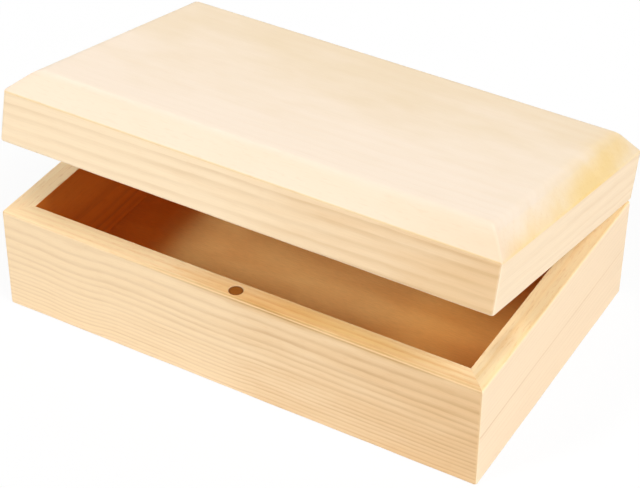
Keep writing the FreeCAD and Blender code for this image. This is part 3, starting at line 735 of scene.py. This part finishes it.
magnet_end = [(0, 0), (MAGNET_FLAT, 0), *eased_end(MAGNET_RADIUS, MAGNET_EASE)]
head = RIM - MAGNET_SUNK
points, faces = turned(magnet_end, head - MAGNET_THICK, head, MAGNET_STEPS)
make_piece("rim_magnet", [(points + (0, CATCH_Y, 0), faces)], "base", "base_magnet",
           brown_painted_reflection("rim_magnet_painted_reflection", (0, CATCH_Y, RIM), 0.0))
foot = LID_FOOT + MAGNET_SUNK
points, faces = turned(magnet_end, foot, foot + MAGNET_THICK, MAGNET_STEPS)
make_piece("rail_magnet", [(swing(points + (0, CATCH_Y, 0)), faces)], "lid",
           "lid_magnet", brown_painted_reflection("rail_magnet_painted_reflection",
                                       lid_point(0, CATCH_Y, LID_FOOT), -LID_ANGLE))

# ------------------------------------------------------------------------
# Hinges.  Two 25 mm butt hinges of pressed brass.  Each leaf is a 0.9 mm plate with two
# countersunk holes and knuckles rolled round a 1.5 mm pin, and lies in a mortise of its own
# depth.
LEAF_FACE, LEAF_BACK, LEAF_END, PLATE_ROOT, LEAF_WORN = 0.15, 1.05, 9.6, 1.62, 0.12
HINGE_HALF, KNUCKLES, KNUCKLE_GAP = 12.5, 5, 0.15
KNUCKLE_RADIUS, KNUCKLE_EASE, KNUCKLE_STEPS, PIN_RADIUS = 1.5, 0.14, 48, 0.75
SLOT_DEPTH, SLOT_AT, SLOT_WIDTH = 0.16, 0.55, 0.07      # mm, and radians from the plate's side
NECK_START, NECK_END, NECK_EASE = 1.92, 1.0, 0.02
SCREW_X, SCREW_Y, HEAD_RADIUS, SHANK_RADIUS = 7.0, 6.2, 1.8, 0.9
HOLE_HALF, HOLE_STEPS = 2.4, 8
BESIDE_END, BESIDE_TAIL = (0.5, 0.15, 0), (0, 0.15, 0.4)    # rows of points at the leaf's edges,
BETWEEN_HOLES, BEHIND_HOLES = 2.2, 2.6                      # and beside its two patches
HANDS = (("left", -HINGE_X), ("right", HINGE_X))


def border(points):
    """The points round the edge of a grid, in order."""
    return np.concatenate([points[:, 0], points[-1, 1:], points[-2::-1, -1], points[0, -2:0:-1]])


def leaf_points(up):
    """One leaf about the hinge axis.  The plate is two grids, worn at three edges, and a band
    round them, with two square patches drawn in to countersinks.  Each knuckle is a ring of
    two circles, chamfered at its ends, and a neck joins it to the plate.  `up` is +1 for the
    lid's leaf."""
    patch = np.linspace(-HOLE_HALF, HOLE_HALF, HOLE_STEPS + 1)
    half = np.concatenate([(0, BETWEEN_HOLES), SCREW_X + patch,
                           HINGE_HALF - np.array(BESIDE_END)])
    x_stops = np.unique(np.round(np.concatenate([-half, half]), 6))
    y_stops = np.concatenate([np.array(BESIDE_TAIL) - LEAF_END, patch - SCREW_Y,
                              (-BEHIND_HOLES, -PLATE_ROOT)])
    x, y = np.meshgrid(x_stops, y_stops, indexing="ij")
    worn = LEAF_WORN * ((np.abs(x) > HINGE_HALF - TOUCHING) | (y < -LEAF_END + TOUCHING))
    parts, band = [], []
    for level, inward in ((LEAF_FACE, 1), (LEAF_BACK, -1)):
        points = np.stack([x, y, up * (level + inward * worn)], -1)
        band.append(border(points))
        points, faces = points.reshape(-1, 3), grid_faces(*x.shape)
        if level == LEAF_FACE:
            middle = points[faces].mean(1)
            beside = np.abs(np.abs(middle[:, 0]) - SCREW_X) >= HOLE_HALF
            faces = faces[beside | (np.abs(middle[:, 1] + SCREW_Y) >= HOLE_HALF)]
        parts.append((points, faces))
    parts.append((np.concatenate(band), grid_faces(2, len(band[0]), wrap=True)))
    depth = LEAF_BACK - LEAF_FACE - 2 * TOUCHING
    sink = [(HEAD_RADIUS + LEAF_WORN, 0), (HEAD_RADIUS, LEAF_WORN), (SHANK_RADIUS, depth),
            (0, depth)]
    for hole_x in (-SCREW_X, SCREW_X):
        hole = (hole_x, -SCREW_Y, up * LEAF_FACE)
        parts.append(round_hole(hole, HOLE_HALF, HOLE_STEPS, sink, -up))

    # the rolled sheet ends in a fine slot where it meets the plate
    angle = np.linspace(0, 2 * math.pi, KNUCKLE_STEPS, endpoint=False)
    slot = SLOT_DEPTH * np.exp(-((angle - math.pi - up * SLOT_AT) / SLOT_WIDTH) ** 2)
    ring_end = [(PIN_RADIUS, 0), *eased_end(KNUCKLE_RADIUS, KNUCKLE_EASE)]
    face, back = LEAF_FACE + TOUCHING, LEAF_BACK - TOUCHING
    neck = eased_outline([(-NECK_START, back), (-NECK_END, back), (-NECK_END, face),
                          (-NECK_START, face)], NECK_EASE, steps=1) * (1, up)
    count = len(neck)
    pitch = 2 * HINGE_HALF / KNUCKLES
    for knuckle in range(1 if up > 0 else 0, KNUCKLES, 2):
        low = -HINGE_HALF + knuckle * pitch + (KNUCKLE_GAP / 2 if knuckle else 0)
        high = -HINGE_HALF + (knuckle + 1) * pitch
        high -= KNUCKLE_GAP / 2 if knuckle < KNUCKLES - 1 else 0
        points, faces = turned(ring_end, low, high, KNUCKLE_STEPS, slot)
        parts.append((points[:, [2, 0, 1]], faces))
        body = [np.insert(neck, 0, x, axis=1) for x in (low + NECK_EASE, high - NECK_EASE)]
        faces = [*grid_faces(2, count, wrap=True), range(count), range(count, 2 * count)]
        parts.append((np.concatenate(body), faces))
    return parts


def brass(name, tone, deep, marks):
    """Brass with a thin lacquer: warm yellow, a little browner in slow clouds of 4 mm, with
    fine lines from the tool.  `marks` is their length and width in millimetres."""
    material, node = blank(bpy.data.materials, name)
    here = node("TexCoord").outputs["Object"]
    cloud = node("TexNoise", {"Vector": here, "Scale": 1 / (4 * MM), "Detail": 4.0})
    drawn = node("VectorMath", {0: here, 1: [1 / (v * MM) for v in marks]},
                 operation="MULTIPLY")
    lines = node("TexNoise", {"Vector": drawn, "Scale": 1.0, "Detail": 2.0})
    amount = node("MapRange", {0: cloud, 1: 0.35, 2: 0.7})
    metal = node("Mix", {0: amount, 6: tone, 7: deep}, data_type="RGBA")
    polish = node("MapRange", {0: lines, 1: 0.3, 2: 0.7, 3: 0.22, 4: 0.38})
    bump = node("Bump", {"Height": lines, "Strength": 0.2, "Distance": 0.02 * MM})
    shader = node("BsdfPrincipled", {"Base Color": metal, "Metallic": 1.0, "Roughness": polish,
                                     "Normal": bump})
    node("OutputMaterial", {"Surface": shader})
    return material


# rolled, with drawing lines 0.25 mm wide, coarser than real ones so that they show
leaf_brass = brass("rolled_brass_leaf", "#d9b25f", "#b98a3c", (20, 0.25, 0.25))
for hand, hinge_x in HANDS:
    for up, body, node_name in ((-1, "base", "base_leaf"), (1, "lid", "lid_leaf")):
        parts = [(points + (hinge_x, HINGE_Y, HINGE_Z), faces)
                 for points, faces in leaf_points(up)]
        if up > 0:
            parts = [(swing(points), faces) for points, faces in parts]
        make_piece(f"{hand}_{node_name}_rolled", parts, body,
                   f"{hand}_hinge_{node_name}", leaf_brass)

# ------------------------------------------------------------------------
# Hinge pins.  Drawn brass wire, cut to the hinges' length, with its ends tapped slightly round.
# Each is pressed into the knuckles of the leaf on the base.
PIN_END, PIN_STEPS = ((0, 0), (0.35, 0.03), (0.6, 0.1), (PIN_RADIUS, 0.25)), 32
for hand, hinge_x in HANDS:
    points, faces = turned(PIN_END, -HINGE_HALF, HINGE_HALF, PIN_STEPS)
    points = points[:, [2, 0, 1]] + (hinge_x, HINGE_Y, HINGE_Z)
    make_piece(f"{hand}_pin_drawn", [(points, faces)], "base", f"{hand}_hinge_pin",
               leaf_brass)

# ------------------------------------------------------------------------
# Hinge screws.  Small slotted brass screws, countersunk flush with the leaves.  They are the
# CAD's own solids, turned with their slots, in a redder brass than the leaves, with turning
# marks 0.3 mm apart, coarser than real ones so that they show.
screw_brass = brass("turned_brass_screw", "#cfa150", "#a87632", (0.3, 0.3, 0.3))
for name in ("base_hinge_screws", "lid_hinge_screws"):
    screws = frame["nodes"][name]
    screws.data.materials.clear()
    screws.data.materials.append(screw_brass)

# ------------------------------------------------------------------------
# Floor.  A wide sheet of white paper under the box.  The camera, mirrors and glass see it glow
# white, with only a trace of the box's shadow.
FLOOR_HALF, FLOOR_DROP, GLOW = 3.0, 0.00004, 0.92      # metres, metres, and a share


def seen(node):
    """1 for rays from the camera or by way of a mirror or glass, and 0 for light."""
    rays = node("LightPath").outputs
    most = rays["Is Camera Ray"]
    for way in ("Is Glossy Ray", "Is Transmission Ray"):
        most = node("Math", {0: most, 1: rays[way]}, operation="MAXIMUM")
    return most


floor_mesh = bpy.data.meshes.new("white_floor")
floor_mesh.from_pydata([(x * FLOOR_HALF, y * FLOOR_HALF, -FLOOR_DROP)
                        for x, y in ((-1, -1), (1, -1), (1, 1), (-1, 1))], [], [(0, 1, 2, 3)])
floor = bpy.data.objects.new("white_floor", floor_mesh)
bpy.context.scene.collection.objects.link(floor)
paper, node = blank(bpy.data.materials, "white_paper_floor")
matt = node("BsdfDiffuse", {"Color": (0.86, 0.86, 0.86, 1)})
white = node("Emission", {"Color": (1, 1, 1, 1), "Strength": 1.0})
share = node("Math", {0: seen(node), 1: GLOW}, operation="MULTIPLY")
mixed = node("MixShader", {0: share, 1: matt, 2: white})
node("OutputMaterial", {"Surface": mixed})
floor_mesh.materials.append(paper)

# ------------------------------------------------------------------------
# Light.  A dim white surround, a broad soft lamp high on the right, a window low on the left of
# the front, and two weak broad fills.
world, node = blank(bpy.data.worlds, "white_studio")
bpy.context.scene.world = world
soft = node("Background", {"Color": (1, 1, 1, 1), "Strength": 0.065})
plain = node("Background", {"Color": (1, 1, 1, 1), "Strength": 1.0})
mixed = node("MixShader", {0: seen(node), 1: soft, 2: plain})
node("OutputWorld", {"Surface": mixed})

# (name, degrees round from the front towards the right, degrees up, strength that a face square
# to it adds, width in degrees)
for name, around, up, strength, width in (
        ("key_high_on_the_right", 78, 52, 0.71, 30), ("window_front_left", -34, 36, 0.58, 15),
        ("fill_front_right", 50, 30, 0.14, 35), ("fill_behind", 195, 45, 0.165, 40)):
    around, up = math.radians(around), math.radians(up)
    towards = (math.sin(around) * math.cos(up), -math.cos(around) * math.cos(up), math.sin(up))
    lamp = bpy.data.lights.new(name, "SUN")
    lamp.energy = math.pi * strength
    lamp.angle = math.radians(width)
    lamp_object = bpy.data.objects.new(name, lamp)
    lamp_object.rotation_euler = Vector(towards).to_track_quat("Z", "Y").to_euler()
    bpy.context.scene.collection.objects.link(lamp_object)

# ------------------------------------------------------------------------
# Camera.  A long lens above the right front corner, tipped down on the box and rolled by half a
# degree.
CAMERA_AT, LOOK_AT, ROLL = (337.62, -591.82, 553.41), (79.83, -138.15, 151.26), 0.009
camera = bpy.data.cameras.new("camera")
camera.sensor_width = 36.0
camera.lens = 115.80
camera.shift_x, camera.shift_y = -0.0004, -0.0003
camera.clip_start, camera.clip_end = 0.05, 20.0
back = Vector(CAMERA_AT) - Vector(LOOK_AT)
camera_object = bpy.data.objects.new("camera", camera)
camera_object.matrix_world = (Matrix.Translation(Vector(CAMERA_AT) * MM)
                              @ back.to_track_quat("Z", "Y").to_matrix().to_4x4()
                              @ Matrix.Rotation(ROLL, 4, "Z"))
bpy.context.scene.collection.objects.link(camera_object)
bpy.context.scene.camera = camera_object
bpy.context.scene.view_settings.view_transform = "Standard"
